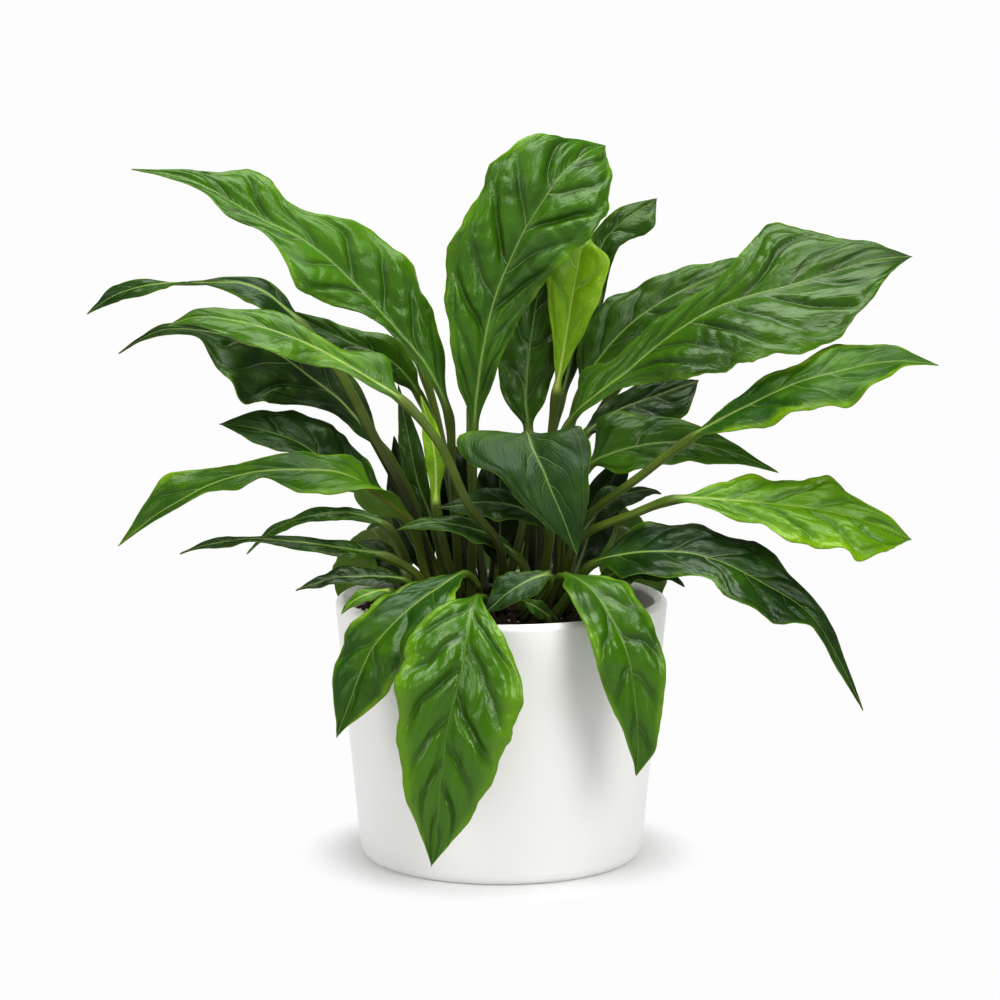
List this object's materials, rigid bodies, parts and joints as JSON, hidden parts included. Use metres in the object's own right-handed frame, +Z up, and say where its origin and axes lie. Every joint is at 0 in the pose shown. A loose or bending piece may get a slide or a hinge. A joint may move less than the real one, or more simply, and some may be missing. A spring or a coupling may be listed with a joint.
{
  "type": "potted bird's-nest anthurium",
  "caption": "Leafy bird's-nest anthurium growing in soil in a round white ceramic pot: long-stalked glossy leaves arch out all round and droop over the rim.",
  "frame": {"origin": "middle of the pot's foot, on the surface the pot stands on", "axes": "+Z up along the pot's axis, +X to the plant's right and its longest side, -Y to the plant's front"},
  "size_m": [0.603, 0.3874, 0.521],
  "materials": {
    "pot_glaze": "smooth satin white glaze",
    "potting_soil": "rough dark brown bark and peat mix with white grains",
    "leaf_dark": "glossy deep green leathery leaf",
    "leaf_green": "glossy green leathery leaf, paler ribs",
    "leaf_bright": "satin bright green leaf, paler ribs",
    "leaf_young": "satin yellow-green young leaf"
  },
  "bodies": {
    "root": {"pot": "pot_glaze", "soil": "potting_soil", "leaf_tall_centre": "leaf_green", "leaf_behind_tall": "leaf_dark", "leaf_young_pale": "leaf_young", "leaf_inner_dark": "leaf_dark", "leaf_back_right_broad": "leaf_dark", "leaf_great_right": "leaf_dark", "leaf_long_stalk_right": "leaf_bright", "leaf_under_great_right": "leaf_dark", "leaf_dark_arching_right": "leaf_green", "leaf_bright_right": "leaf_bright", "leaf_curled_small_right": "leaf_green", "leaf_long_arch_right": "leaf_green", "leaf_under_arch_right": "leaf_dark", "leaf_front_right_drooping": "leaf_green", "leaf_front_small": "leaf_green", "leaf_heart": "leaf_green", "leaf_front_great_drooping": "leaf_green", "leaf_front_left_drooping": "leaf_bright", "leaf_left_low_small": "leaf_dark", "leaf_left_rim_tiny": "leaf_bright", "leaf_left_slender": "leaf_dark", "leaf_left_slender_back": "leaf_green", "leaf_left_bright_arching": "leaf_bright", "leaf_left_dark": "leaf_green", "leaf_left_great_dark": "leaf_dark", "leaf_long_bright_left": "leaf_bright", "leaf_twisted_left": "leaf_green", "leaf_back_left_dark": "leaf_green", "leaf_great_left_wavy": "leaf_green", "leaf_upright_dark": "leaf_dark", "leaf_upright_yellow_green": "leaf_young", "leaf_centre_small": "leaf_green", "leaf_under_heart": "leaf_green", "leaf_left_low_dark": "leaf_dark", "leaf_sheath_front": "leaf_bright", "leaf_inner_back_left": "leaf_dark", "leaf_inner_back_left_centre": "leaf_dark", "leaf_inner_back_centre": "leaf_dark", "leaf_inner_back_right_centre": "leaf_dark", "leaf_inner_back_right": "leaf_dark", "leaf_back_left_low": "leaf_green", "leaf_back_centre_low": "leaf_dark", "leaf_back_right_low": "leaf_green", "leaf_back_tall": "leaf_green", "leaf_back_left_high": "leaf_green", "leaf_back_right_high": "leaf_green", "leaf_back_left_drooping": "leaf_bright", "leaf_back_right_drooping": "leaf_dark"}
  },
  "joints": []
}
